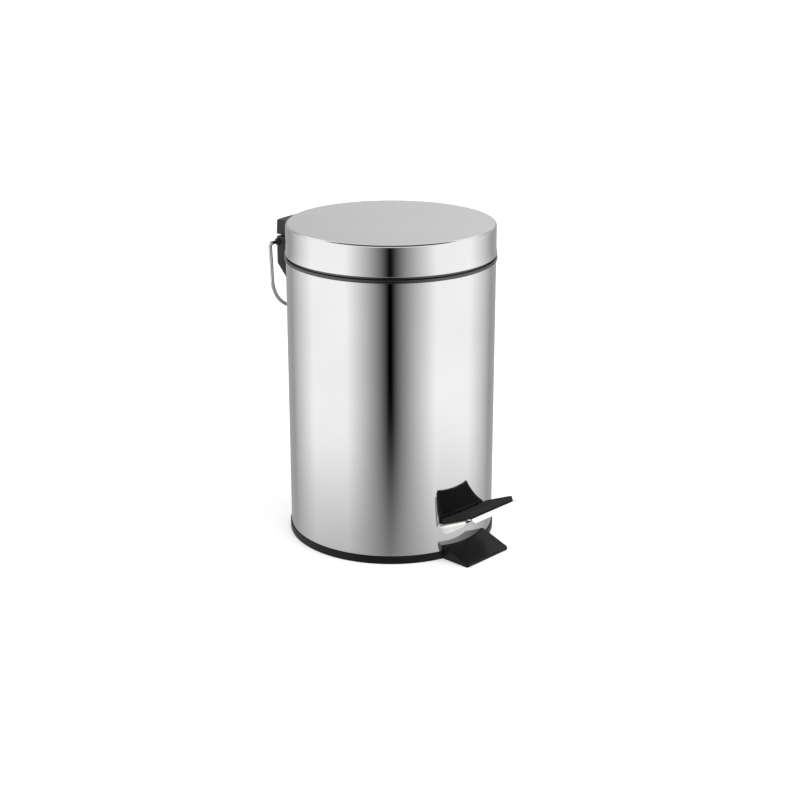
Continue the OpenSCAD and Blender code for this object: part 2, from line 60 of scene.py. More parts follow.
BODY_LO, BODY_HI = box_mm("body_shell")
LID_LO, LID_HI = box_mm("lid_shell")
BASE_LO, BASE_HI = box_mm("base")
COLLAR_LO, COLLAR_HI = box_mm("top_collar")
HOUSING_LO, HOUSING_HI = box_mm("hinge_housing")
BLOCK_LO, BLOCK_HI = box_mm("lid_hinge_block")
HANDLE_LO, HANDLE_HI = box_mm("carry_handle")
BUCKET_LO, BUCKET_HI = box_mm("bucket")
PLATE_LO, PLATE_HI = box_mm("pedal_plate")
PAD_LO, PAD_HI = box_mm("pedal_pad")
LINER_LO, LINER_HI = box_mm("lid_liner")
HINGE_Y, HINGE_Z = (Vector(JOINTS["lid_open"]["pos_m"]) / MM)[1:]
ROD_Y, ARM_END_Z = (Vector(JOINTS["rod_swing"]["pos_m"]) / MM)[1:]
PIVOT_Y, PIVOT_Z = (Vector(JOINTS["pedal_press"]["pos_m"]) / MM)[1:]

BODY_R = BODY_HI.x
BODY_BOTTOM, BODY_TOP = BODY_LO.z, BODY_HI.z
LID_BOTTOM, LID_TOP = LID_LO.z, LID_HI.z


# ---------------------------------------------------------------- mesh helpers


def arc(cx, cy, r, a0, a1, n):
    """Points along an arc, from angle a0 to a1 in degrees."""
    angles = [math.radians(a0 + (a1 - a0) * i / n) for i in range(n + 1)]
    return [(cx + r * math.cos(a), cy + r * math.sin(a)) for a in angles]


def span(a, b, n):
    """n + 1 numbers from a to b."""
    return [a + (b - a) * i / n for i in range(n + 1)]


def make(name, verts_mm, faces, material):
    """An object from points in millimetres, with one material."""
    mesh = bpy.data.meshes.new(name)
    mesh.from_pydata([[c * MM for c in v] for v in verts_mm], [], faces)
    bm = bmesh.new()
    bm.from_mesh(mesh)
    bmesh.ops.remove_doubles(bm, verts=bm.verts, dist=2e-6)
    bmesh.ops.dissolve_degenerate(bm, edges=bm.edges, dist=1e-6)
    bmesh.ops.recalc_face_normals(bm, faces=bm.faces)
    bm.to_mesh(mesh)
    bm.free()
    mesh.materials.append(material)
    obj = bpy.data.objects.new(name, mesh)
    bpy.context.scene.collection.objects.link(obj)
    return obj


def apply_modifiers(obj):
    """Turns the modifiers' result into the object's own mesh."""
    depsgraph = bpy.context.evaluated_depsgraph_get()
    mesh = bpy.data.meshes.new_from_object(obj.evaluated_get(depsgraph))
    mesh.name = obj.name
    obj.modifiers.clear()
    obj.data = mesh


def bevel(obj, width_mm, segments=3, angle=38):
    """Rounds every edge sharper than angle."""
    m = obj.modifiers.new("bevel", "BEVEL")
    m.width = width_mm * MM
    m.segments = segments
    m.limit_method = "ANGLE"
    m.angle_limit = math.radians(angle)
    apply_modifiers(obj)


def combine(obj, tool, operation):
    """Cuts tool from obj or joins it to obj, and removes tool."""
    m = obj.modifiers.new("boolean", "BOOLEAN")
    m.operation = operation
    m.solver = "EXACT"
    m.object = tool
    apply_modifiers(obj)
    bpy.data.objects.remove(tool)


def smooth(obj, sharp=32):
    """Smooth shading that keeps flat faces flat."""
    obj.data.polygons.foreach_set("use_smooth", [True] * len(obj.data.polygons))
    obj.data.set_sharp_from_angle(angle=math.radians(sharp))
    m = obj.modifiers.new("weighted normals", "WEIGHTED_NORMAL")
    m.mode = "FACE_AREA"
    m.weight = 80
    m.keep_sharp = True
    return obj


def place(obj, body, slot, *nodes):
    """Parents a piece to the body it moves with and hides the CAD nodes it stands for; slot, its finish, is
    not used.
    """
    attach(obj, body)
    if nodes:
        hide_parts(*nodes)
    return obj


def turn(name, profile, material, segments=240, start=0.0, sweep=360.0, closed=True):
    """Revolves a profile of (radius, height) about the bin's axis."""
    full = sweep >= 360
    count = segments if full else segments + 1
    verts = []
    for i in range(count):
        a = math.radians(start + sweep * i / segments)
        verts += [(r * math.cos(a), r * math.sin(a), z) for r, z in profile]
    m = len(profile)
    faces = []
    for i in range(segments):
        for k in range(m if closed else m - 1):
            a, b = i * m + k, i * m + (k + 1) % m
            c, d = ((i + 1) % count) * m + (k + 1) % m, ((i + 1) % count) * m + k
            faces.append((a, b, c, d))
    if closed and not full:
        faces.append(tuple(range(m)))
        faces.append(tuple(range((count - 1) * m, count * m)))
    return make(name, verts, faces, material)


def loft(name, sections, material):
    """Skins closed sections with the same number of points, and caps both ends."""
    m = len(sections[0])
    verts = [p for s in sections for p in s]
    faces = []
    for i in range(len(sections) - 1):
        for k in range(m):
            a, b = i * m + k, i * m + (k + 1) % m
            faces.append((a, b, b + m, a + m))
    faces.append(tuple(range(m)))
    faces.append(tuple(range((len(sections) - 1) * m, len(sections) * m)))
    return make(name, verts, faces, material)


def prism_x(name, outline, x0, x1, material):
    """Pushes an outline of (y, z) out along X."""
    return loft(name, [[(x, y, z) for y, z in outline] for x in (x0, x1)], material)


def bar(name, centre, axis, r, half_len, material, sides=32):
    """A round bar along X or Z about centre, as a tool or a small part."""
    sections = []
    for t in (-half_len, half_len):
        ring = arc(0, 0, r, 0, 360 * (sides - 1) / sides, sides - 1)
        if axis == "x":
            sections.append([(centre[0] + t, centre[1] + u, centre[2] + v) for u, v in ring])
        else:
            sections.append([(centre[0] + u, centre[1] + v, centre[2] + t) for u, v in ring])
    return loft(name, sections, material)


def wire(name, path, r, material, sides=20):
    """A round wire along a path of points, with rounded ends."""
    pts = [Vector(p) for p in path]
    tangents = []
    for i in range(len(pts)):
        t = pts[min(i + 1, len(pts) - 1)] - pts[max(i - 1, 0)]
        tangents.append(t.normalized())
    side = tangents[0].orthogonal().normalized()
    rings = []
    for i, (p, t) in enumerate(zip(pts, tangents)):
        side = (side - t * side.dot(t)).normalized()
        up = t.cross(side)
        ends = []
        if i == 0:
            ends = [(-0.30, 0.35), (-0.22, 0.72), (-0.08, 0.93)]
        rings += [ring_at(p + t * (k * r), side, up, r * s, sides) for k, s in ends]
        rings.append(ring_at(p, side, up, r, sides))
        if i == len(pts) - 1:
            ends = [(0.08, 0.93), (0.22, 0.72), (0.30, 0.35)]
            rings += [ring_at(p + t * (k * r), side, up, r * s, sides) for k, s in ends]
    return loft(name, rings, material)


def ring_at(p, side, up, r, sides):
    """Points of a circle about p, square to a wire."""
    ring = []
    for k in range(sides):
        a = 2 * math.pi * k / sides
        ring.append(tuple(p + (side * math.cos(a) + up * math.sin(a)) * r))
    return ring


def on_cylinder(r, x):
    """Distance from the X axis plane to a cylinder of radius r at x."""
    return math.sqrt(r * r - x * x)


# ---------------------------------------------------------------- materials


def add_node(tree, kind, values=None, **settings):
    """A shader node with its sockets and settings filled in."""
    n = tree.nodes.new(kind)
    for key, value in settings.items():
        setattr(n, key, value)
    for key, value in (values or {}).items():
        n.inputs[key].default_value = value
    return n


def ramp_of(tree, fac, stops, interpolation="LINEAR"):
    """A colour ramp fed by fac. Stops are (position, grey or colour)."""
    n = tree.nodes.new("ShaderNodeValToRGB")
    n.color_ramp.interpolation = interpolation
    elements = n.color_ramp.elements
    while len(elements) < len(stops):
        elements.new(0.5)
    for e, (pos, value) in zip(elements, stops):
        e.position = pos
        value = value if isinstance(value, tuple) else (value,) * 3
        e.color = (*value, 1)
    tree.links.new(fac, n.inputs["Fac"])
    return n.outputs["Color"]


def range_of(tree, value, low, high):
    """Maps 0..1 to low..high."""
    n = add_node(tree, "ShaderNodeMapRange", {"To Min": low, "To Max": high})
    tree.links.new(value, n.inputs["Value"])
    return n.outputs["Result"]


def noise(tree, coords, scale, detail=3.0, stretch=(1, 1, 1)):
    """Noise in object coordinates. Scale is in features per metre."""
    m = add_node(tree, "ShaderNodeMapping", {"Scale": stretch})
    n = add_node(tree, "ShaderNodeTexNoise", {"Scale": scale, "Detail": detail})
    tree.links.new(coords, m.inputs["Vector"])
    tree.links.new(m.outputs["Vector"], n.inputs["Vector"])
    return n.outputs["Fac"]


def cells(tree, coords, scale):
    """Voronoi cell distance in object coordinates."""
    n = add_node(tree, "ShaderNodeTexVoronoi", {"Scale": scale})
    tree.links.new(coords, n.inputs["Vector"])
    return n.outputs["Distance"]


def bump_of(tree, heights):
    """Chains bumps of (height, strength, distance in mm) and returns the normal."""
    normal = None
    for height, strength, distance in heights:
        n = add_node(tree, "ShaderNodeBump", {"Strength": strength, "Distance": distance * MM})
        tree.links.new(height, n.inputs["Height"])
        if normal:
            tree.links.new(normal, n.inputs["Normal"])
        normal = n.outputs["Normal"]
    return normal


def new_material(name, metallic=0.0, **sockets):
    """A material with its Principled shader, tree and object coordinates."""
    material = bpy.data.materials.new(name)
    material.use_nodes = True
    tree = material.node_tree
    shader = tree.nodes["Principled BSDF"]
    shader.inputs["Metallic"].default_value = metallic
    for key, value in sockets.items():
        shader.inputs[key.replace("_", " ")].default_value = value
    coords = tree.nodes.new("ShaderNodeTexCoord").outputs["Object"]
    return material, tree, shader, coords


def finish_material(tree, shader, colour, roughness, normal):
    """Links what varies over the surface to the shader."""
    tree.links.new(colour, shader.inputs["Base Color"])
    tree.links.new(roughness, shader.inputs["Roughness"])
    if normal:
        tree.links.new(normal, shader.inputs["Normal"])


def polished_steel():
    """Mirror-polished sheet: faint rolling lines, very faint smears."""
    mat, tree, shader, at = new_material("polished_steel", metallic=1.0)
    smears = noise(tree, at, 14, 2.0)
    lines = noise(tree, at, 900, 2.0, (1, 1, 0.012))
    waves = noise(tree, at, 9, 1.0)
    colour = ramp_of(tree, smears, [(0.3, (0.600, 0.600, 0.606)), (0.75, (0.640, 0.640, 0.644))])
    mixed = add_node(tree, "ShaderNodeMath", operation="MULTIPLY")
    tree.links.new(smears, mixed.inputs[0])
    tree.links.new(lines, mixed.inputs[1])
    rough = range_of(tree, mixed.outputs["Value"], 0.045, 0.12)
    normal = bump_of(tree, [(waves, 0.25, 0.03), (lines, 0.04, 0.004)])
    finish_material(tree, shader, colour, rough, normal)
    return mat


def satin_lid_steel():
    """Lid sheet, as the body's but a shade softer."""
    mat, tree, shader, at = new_material("lid_steel", metallic=1.0)
    smears = noise(tree, at, 18, 2.0)
    lines = noise(tree, at, 1400, 2.0, (0.03, 1, 1))
    colour = ramp_of(tree, smears, [(0.3, (0.602, 0.602, 0.606)), (0.75, (0.635, 0.635, 0.640))])
    rough = range_of(tree, lines, 0.07, 0.14)
    normal = bump_of(tree, [(lines, 0.05, 0.004)])
    finish_material(tree, shader, colour, rough, normal)
    return mat


def plated_steel():
    """Bright plated pressing with a slightly pebbled surface."""
    mat, tree, shader, at = new_material("bright_plate", metallic=1.0)
    pebbles = noise(tree, at, 420, 3.0)
    clouds = noise(tree, at, 90, 3.0)
    colour = ramp_of(tree, clouds, [(0.3, (0.76, 0.76, 0.74)), (0.7, (0.87, 0.87, 0.85))])
    rough = range_of(tree, pebbles, 0.10, 0.32)
    normal = bump_of(tree, [(pebbles, 0.35, 0.06)])
    finish_material(tree, shader, colour, rough, normal)
    return mat


def bright_wire():
    """Drawn and plated wire: bright, with faint draw marks."""
    mat, tree, shader, at = new_material("bright_wire", metallic=1.0)
    marks = noise(tree, at, 1600, 2.0, (1, 1, 0.05))
    colour = ramp_of(tree, marks, [(0.3, (0.50, 0.50, 0.51)), (0.7, (0.64, 0.64, 0.65))])
    rough = range_of(tree, marks, 0.06, 0.16)
    finish_material(tree, shader, colour, rough, bump_of(tree, [(marks, 0.08, 0.005)]))
    return mat


def zinc_steel():
    """Zinc-plated steel with a mottled, slightly blue finish."""
    mat, tree, shader, at = new_material("zinc_steel", metallic=1.0)
    spangle = cells(tree, at, 260)
    clouds = noise(tree, at, 160, 4.0)
    colour = ramp_of(tree, clouds, [(0.25, (0.44, 0.45, 0.47)), (0.75, (0.62, 0.63, 0.64))])
    rough = range_of(tree, spangle, 0.24, 0.46)
    finish_material(tree, shader, colour, rough, bump_of(tree, [(clouds, 0.2, 0.02)]))
    return mat


def plastic(name, dark, light, rough, grain_scale, grain_depth, grain_strength, specular=0.5):
    """Moulded plastic: fine grain, slow colour change, uneven gloss."""
    mat, tree, shader, at = new_material(name, Specular_IOR_Level=specular)
    slow = noise(tree, at, 45, 3.0)
    grain = noise(tree, at, grain_scale, 2.0)
    pits = cells(tree, at, grain_scale * 0.8)
    colour = ramp_of(tree, slow, [(0.3, dark), (0.72, light)])
    mixed = add_node(tree, "ShaderNodeMath", operation="MULTIPLY")
    tree.links.new(slow, mixed.inputs[0])
    tree.links.new(grain, mixed.inputs[1])
    roughness = range_of(tree, mixed.outputs["Value"], *rough)
    heights = [(grain, grain_strength, grain_depth), (pits, grain_strength * 0.5, grain_depth)]
    finish_material(tree, shader, colour, roughness, bump_of(tree, heights))
    return mat


def rubber(name, dark, light):
    """Moulded rubber: matt, finely pitted, with a dusty bloom."""
    mat, tree, shader, at = new_material(name, Specular_IOR_Level=0.28)
    bloom = noise(tree, at, 120, 5.0)
    pits = noise(tree, at, 3800, 2.0)
    colour = ramp_of(tree, bloom, [(0.35, dark), (0.75, light)])
    rough = range_of(tree, bloom, 0.52, 0.78)
    finish_material(tree, shader, colour, rough, bump_of(tree, [(pits, 0.3, 0.05)]))
    return mat


STEEL = polished_steel()
LID_STEEL = satin_lid_steel()
PLATE = plated_steel()
WIRE = bright_wire()
ZINC = zinc_steel()
BLACK = plastic(
    "black_plastic", (0.005,) * 3, (0.009,) * 3, (0.26, 0.5), 2200, 0.02, 0.12, specular=0.14
)
COLLAR = plastic(
    "collar_plastic", (0.003,) * 3, (0.006,) * 3, (0.12, 0.24), 2200, 0.01, 0.06, specular=0.9
)
HINGE = plastic(
    "hinge_plastic", (0.009, 0.009, 0.0092), (0.016, 0.016, 0.0165), (0.42, 0.7), 3000, 0.05, 0.3,
    specular=0.34,
)
LINER = plastic("liner_plastic", (0.024,) * 3, (0.036,) * 3, (0.34, 0.6), 2600, 0.03, 0.2)
BUCKET = plastic("bucket_plastic", (0.016,) * 3, (0.026,) * 3, (0.30, 0.6), 2400, 0.03, 0.2)
GREY = plastic("grey_plastic", (0.10,) * 3, (0.15,) * 3, (0.36, 0.6), 2400, 0.03, 0.2)
PAD = rubber("pad_rubber", (0.005, 0.005, 0.0052), (0.016, 0.016, 0.0165))
SOFT = rubber("soft_rubber", (0.018,) * 3, (0.034,) * 3)


# ---------------------------------------------------------------- steel body


def steel_wall():
    """Body sheet with rolled-in lips, the lever's window and the lift arm's notch."""
    lip_w, edge_r, sheet = 1.6, 0.6, 0.6
    window_x, window_z = 9.0, (23.6, 33.2)
    notch_x, notch_z = 6.5, ARM_END_Z - 5.3
    profile = [(BODY_R - lip_w, BODY_BOTTOM)]
    profile += arc(BODY_R - edge_r, BODY_BOTTOM + edge_r, edge_r, -90, 0, 6)
    heights = sorted({*window_z, notch_z, *span(BODY_BOTTOM + 4, BODY_TOP - 4, 22)})
    profile += [(BODY_R, z) for z in heights]
    profile += arc(BODY_R - edge_r, BODY_TOP - edge_r, edge_r, 0, 90, 6)
    profile += [(BODY_R - lip_w, BODY_TOP)]
    half_window = math.degrees(math.asin(window_x / BODY_R))
    half_notch = math.degrees(math.asin(notch_x / BODY_R))
    half_rod_gap = math.degrees(math.asin(9.5 / BODY_R))
    angles = {*span(0, 358.5, 239)}
    special = [270 - half_window, 270 + half_window, 90 - half_notch, 90 + half_notch]
    special += [90 - half_rod_gap, 90 + half_rod_gap]
    angles = {a for a in angles if min(abs(a - s) for s in special) > 0.4}
    angles = sorted(angles | set(special))
    verts, faces, m = [], [], len(profile)
    for a in angles:
        c, s = math.cos(math.radians(a)), math.sin(math.radians(a))
        verts += [(r * c, r * s, z) for r, z in profile]
    for i, a in enumerate(angles):
        j = (i + 1) % len(angles)
        mid = (a + (angles[j] if j else 360)) / 2
        for k in range(m - 1):
            z = (profile[k][1] + profile[k + 1][1]) / 2
            in_window = abs(mid - 270) < half_window and window_z[0] < z < window_z[1]
            in_notch = abs(mid - 90) < half_notch and z > notch_z
            in_rod_gap = abs(mid - 90) < half_rod_gap and k == 0
            if not in_window and not in_notch and not in_rod_gap:
                faces.append((i * m + k, j * m + k, j * m + k + 1, i * m + k + 1))
    obj = make("body_shell_steel", verts, faces, STEEL)
    m = obj.modifiers.new("sheet", "SOLIDIFY")
    m.thickness = sheet * MM
    m.offset = -1
    m.use_even_offset = True
    apply_modifiers(obj)
    return obj


place(smooth(steel_wall()), "bin", "polished_steel", "body_shell")


def steel_lid():
    """Lid cap: flat top, small rounded edge, straight side and a slightly flared bead."""
    edge_r, sheet = 2.5, 0.6
    r_rim = LID_HI.x
    edge_z = LID_TOP - edge_r
    profile = [(r, LID_TOP) for r in (0, 10, 30, 55, 74)]
    profile += arc(BODY_R - edge_r, edge_z, edge_r, 90, 0, 12)
    profile += [(BODY_R, edge_z - 4), (BODY_R + 0.02, LID_BOTTOM + 9)]
    profile += [(BODY_R + 0.1, LID_BOTTOM + 5.5), (BODY_R + 0.3, LID_BOTTOM + 3)]
    profile += [(r_rim - 0.25, LID_BOTTOM + 1.7)]
    profile += arc(r_rim - 0.5, LID_BOTTOM + 0.6, 0.5, 40, -90, 8)
    profile += arc(r_rim - 0.7, LID_BOTTOM + 0.45, 0.45, -90, -180, 4)
    profile += [(BODY_R - sheet + 0.25, LID_BOTTOM + 3), (BODY_R - sheet + 0.1, LID_BOTTOM + 5.5)]
    profile += [(BODY_R - sheet, LID_BOTTOM + 9), (BODY_R - sheet, edge_z - 4)]
    profile += arc(BODY_R - edge_r, edge_z, edge_r - sheet, 0, 90, 8)
    profile += [(r, LID_TOP - sheet) for r in (74, 55, 30, 10, 0)]
    return turn("lid_cap_steel", profile, LID_STEEL)


place(smooth(steel_lid()), "lid", "polished_steel", "lid_shell")


# ---------------------------------------------------------------- plastic rims


def collar():
    """Black rim on top of the body, with the lift arm's notch at the back."""
    wall_out, wall_in = BODY_R - 1.8, BODY_R - 3.6
    flange_r = COLLAR_HI.x
    flange_top = BODY_TOP + 2.5
    profile = [(wall_in, COLLAR_LO.z), (wall_out - 0.5, COLLAR_LO.z), (wall_out, COLLAR_LO.z + 0.6)]
    profile += [(wall_out, BODY_TOP), (flange_r - 0.35, BODY_TOP)]
    profile += arc(flange_r - 0.35, BODY_TOP + 0.35, 0.35, -70, 0, 4)
    profile += arc(flange_r - 0.9, flange_top - 0.9, 0.9, 0, 90, 8)
    profile += arc(wall_out + 0.9, flange_top + 0.5, 0.5, -90, -180, 5)
    profile += arc(wall_out - 0.1, COLLAR_HI.z - 0.5, 0.5, 0, 90, 6)
    profile += [(wall_in + 0.4, COLLAR_HI.z), (wall_in, COLLAR_HI.z - 0.4)]
    gap = math.degrees(math.asin(6.5 / wall_out))
    return turn("rim_collar", profile, COLLAR, 240, 90 + gap, 360 - 2 * gap)


place(smooth(collar()), "bin", "black_plastic", "top_collar")


def base_ring():
    """Black base: ring under the body, plug wall and floor."""
    ring_r = BODY_R + 0.9
    plug_out, plug_in = BODY_R - 1.8, BODY_R - 3.6
    floor_lo, floor_hi, foot_r = 1.6, 3.2, 15
    profile = [(0, 0), (foot_r, 0), (foot_r + 1, floor_lo), (plug_in - 1.2, floor_lo)]
    profile += [(plug_in, 0.2), (plug_in + 0.3, 0)]
    profile += arc(ring_r - 0.6, 0.6, 0.6, -90, 0, 6)
    profile += arc(ring_r - 0.7, BODY_BOTTOM - 0.7, 0.7, 0, 90, 6)
    profile += [(plug_out, BODY_BOTTOM), (plug_out, 15.2), (plug_out - 0.6, 16)]
    profile += [(plug_in + 0.4, 16), (plug_in, 15.6), (plug_in, floor_hi + 1)]
    profile += [(plug_in - 1, floor_hi), (0, floor_hi)]
    obj = turn("base_moulding", profile, BLACK)
    room = [(plug_in - 4, floor_hi), (plug_in + 3, floor_hi), (plug_in + 3, 23), (plug_in - 4, 23)]
    combine(obj, prism_x("room", room, -9.5, 9.5, BLACK), "DIFFERENCE")
    return obj


place(smooth(base_ring()), "bin", "black_plastic", "base")


def foot_plate():
    """Wedge that stands out of the base under the pedal."""
    half_w, corner, back_r = 25.0, 2.0, BODY_R + 0.15
    front = -BASE_LO.y
    height_front, height_back, back_y = 2.8, 11.6, 80.0
    slope = (height_back - height_front) / (front - 0.8 - back_y)
    outline = arc(-half_w + corner, -front + corner, corner, 180, 270, 8)
    outline += arc(half_w - corner, -front + corner, corner, 270, 360, 8)
    outline += [(x, -on_cylinder(back_r, x)) for x in span(half_w, -half_w, 32)]
    low = [(x, y, 0.0) for x, y in outline]
    high = [(x, y, height_front + (front - 0.8 + y) * slope) for x, y in outline]
    obj = loft("base_foot_plate", [low, high], BLACK)
    bevel(obj, 0.7, 4)
    return obj


place(smooth(foot_plate()), "bin", "black_plastic")


def bearing_posts():
    """Posts of the lever's pivot pin and the pillars of its cap screws."""
    outline = [(PIVOT_Y - 5, 3.0)] + arc(PIVOT_Y, PIVOT_Z, 5, 180, 0, 18) + [(PIVOT_Y + 5, 3.0)]
    parts = []
    for side in (-1, 1):
        post = prism_x("post", outline, side * 11.3 - 2.2, side * 11.3 + 2.2, BLACK)
        bevel(post, 0.3, 2)
        combine(post, bar("bore", (side * 11.3, PIVOT_Y, PIVOT_Z), "x", 2.05, 6, BLACK), "DIFFERENCE")
        parts.append(post)
        pillar = bar("pillar", (side * 17.5, PIVOT_Y, (3 + PIVOT_Z) / 2), "z", 3.2, (PIVOT_Z - 3) / 2, BLACK)
        bevel(pillar, 0.25, 2)
        combine(post, pillar, "UNION")
    combine(parts[0], parts[1], "UNION")
    parts[0].name = "base_bearing_posts"
    return parts[0]


place(smooth(bearing_posts()), "bin", "black_plastic")


# ---------------------------------------------------------------- hinge blocks

HINGE_HALF_W = HOUSING_HI.x
HINGE_R = HOUSING_HI.y
EAR_R = 4.9
WIRE_R = 1.6
TAPER = [(76, 181), (84, 189.5), (88.2, 194.6), (90.8, 199.4), (93.6, 203.6), (98.6, 208.8)]
TAPER += [(103, 213.2), (107, 217.6)]


def taper_z(y):
    """Height of the housing's sloping underside at y."""
    for (y0, z0), (y1, z1) in zip(TAPER, TAPER[1:]):
        if y <= y1:
            return z0 + (z1 - z0) * (y - y0) / (y1 - y0)
    return TAPER[-1][1]


def housing():
    """Lower hinge block on the body, with the channel for the lid's knuckle."""
    sections = []
    for x in span(-HINGE_HALF_W, HINGE_HALF_W, 24):
        inner, outer = on_cylinder(BODY_R + 0.15, x), on_cylinder(HINGE_R, x)
        section = [(y, taper_z(y)) for y in span(inner, outer, 18)]
        section += [(outer, HINGE_Z - 3.4)]
        ear = arc(HINGE_Y, HINGE_Z, EAR_R, 0, 90, 6)
        section += [(min(y, outer), z) for y, z in ear]
        section += [(inner, HINGE_Z + EAR_R)]
        sections.append([(x, y, z) for y, z in section])
    obj = loft("hinge_housing_moulding", sections, HINGE)
    bevel(obj, 0.8, 4, 36)
    obj.modifiers.new("triangles", "TRIANGULATE")
    apply_modifiers(obj)
    for side in (-1, 1):
        boss = bar("boss", (side * HINGE_HALF_W, HINGE_Y, HINGE_Z), "x", 3.1, 1.3, HINGE, 40)
        bevel(boss, 0.5, 3)
        combine(obj, boss, "UNION")
    for r, z0 in ((BODY_R + 1.15, BODY_TOP - 0.3), (BODY_R + 2.8, BODY_TOP + 2.5)):
        rim = turn("rim_cut", [(0, z0), (r, z0), (r, 300), (0, 300)], HINGE)
        combine(obj, rim, "DIFFERENCE")
    channel = [(70, 211.5), (99, 211.5), (99, HINGE_Z - EAR_R - 4), (103, HINGE_Z - EAR_R - 4)]
    channel += [(103, HINGE_Z - EAR_R - 0.5), (130, HINGE_Z - EAR_R - 0.5)]
    channel += [(130, 300), (70, 300)]
    combine(obj, prism_x("channel", channel, -10.4, 10.4, HINGE), "DIFFERENCE")
    combine(obj, bar("bore", (0, HINGE_Y, HINGE_Z), "x", 1.55, 45, HINGE, 28), "DIFFERENCE")
    for side in (-1, 1):
        end_bore = bar("bore", (side * 32.6, HINGE_Y, HINGE_Z), "x", WIRE_R + 0.08, 7.4, HINGE, 28)
        combine(obj, end_bore, "DIFFERENCE")
    return obj


place(smooth(housing()), "bin", "hinge_plastic", "hinge_housing")


def link_outline(p, rp, q, rq):
    """Outline of a flat link with round ends about p and q."""
    angle = math.degrees(math.atan2(q[1] - p[1], q[0] - p[0]))
    return arc(*p, rp, angle + 90, angle + 270, 16) + arc(*q, rq, angle - 90, angle + 90, 16)


def lid_block():
    """Upper hinge block on the lid, with its knuckle and two lift arms."""
    bottom, top = HINGE_Z + 6.2, BLOCK_HI.z
    r_low, r_high = BLOCK_HI.y, BLOCK_HI.y - 0.9
    sections = []
    for x in span(-HINGE_HALF_W, HINGE_HALF_W, 24):
        inner = on_cylinder(BODY_R + 0.75, x)
        low, high = on_cylinder(r_low, x), on_cylinder(r_high, x)
        section = [(inner, bottom), (low, bottom), (high, top), (inner, top)]
        sections.append([(x, y, z) for y, z in section])
    obj = loft("lid_hinge_moulding", sections, HINGE)
    bevel(obj, 0.9, 4, 36)
    hinge, end = (HINGE_Y, HINGE_Z), (ROD_Y, ARM_END_Z)
    middle = ((hinge[0] + end[0]) / 2, (hinge[1] + end[1]) / 2)
    knuckle = arc(*hinge, EAR_R, 180, 360, 24)
    knuckle += [(HINGE_Y + EAR_R, bottom + 0.8), (HINGE_Y - EAR_R, bottom + 0.8)]
    tool = prism_x("knuckle", knuckle, -10, 10, HINGE)
    bevel(tool, 0.4, 3)
    combine(obj, tool, "UNION")
    for side in (-1, 1):
        outline = link_outline(end, 3.2, hinge, EAR_R - 0.2)
        tool = prism_x("arm", outline, side * 3.45 - 1.35, side * 3.45 + 1.35, HINGE)
        bevel(tool, 0.3, 2)
        combine(obj, tool, "UNION")
    combine(obj, prism_x("web", link_outline(middle, 4, hinge, EAR_R - 0.3), -3, 3, HINGE), "UNION")
    combine(obj, bar("bore", (0, HINGE_Y, HINGE_Z), "x", 1.55, 20, HINGE, 28), "DIFFERENCE")
    combine(obj, bar("bore", (0, ROD_Y, ARM_END_Z), "x", 1.25, 20, HINGE, 28), "DIFFERENCE")
    return obj


place(smooth(lid_block()), "lid", "hinge_plastic", "lid_hinge_block")


# ---------------------------------------------------------------- wire handle


def handle_wire():
    """Bent wire handle that hangs from the hinge housing."""
    half_w, bottom, r = HANDLE_HI.x - WIRE_R, HANDLE_LO.z + WIRE_R, WIRE_R
    lean, corner_r, bend_r = math.radians(3), 27.0, 3.0
    bend = (half_w - bend_r * math.cos(lean), HINGE_Z - bend_r)
    leg_z = bend[1] - bend_r * math.sin(lean)
    corner_z = bottom + corner_r
    end_z = corner_z - corner_r * math.sin(lean)
    corner_x = half_w - (leg_z - end_z) * math.tan(lean) - corner_r * math.cos(lean)
    upper = arc(*bend, bend_r, 90, -3, 14)
    lower = arc(corner_x, corner_z, corner_r, -3, -90, 36)
    start, run = upper[-1], (lower[0][0] - upper[-1][0], lower[0][1] - upper[-1][1])
    leg = [(start[0] + run[0] * t, start[1] + run[1] * t) for t in span(0, 1, 8)[1:-1]]
    half = [(25.4, HINGE_Z), (28, HINGE_Z), (31, HINGE_Z)] + upper + leg + lower
    path = half + [(-x, z) for x, z in reversed(half)]
    return wire("carry_handle_wire", [(x, HINGE_Y, z) for x, z in path], r, WIRE, 24)


place(smooth(handle_wire(), 60), "carry_handle", "bright_wire", "carry_handle")


# ---------------------------------------------------------------- pedal

PEDAL_TILT = math.radians(23.8)
PEDAL_ORIGIN = (0, -80.0, 30.1)


def on_pedal(x, s, n):
    """A point of the pedal: x across, s outwards along the plate, n square to it."""
    c, t = math.cos(PEDAL_TILT), math.sin(PEDAL_TILT)
    return (x, PEDAL_ORIGIN[1] - s * c + n * t, PEDAL_ORIGIN[2] + s * t + n * c)


def rear_s(r, x, n=0.0):
    """Where the pedal's rear edge meets a cylinder of radius r, at x."""
    c, t = math.cos(PEDAL_TILT), math.sin(PEDAL_TILT)
    return (on_cylinder(r, x) + PEDAL_ORIGIN[1] + n * t) / c


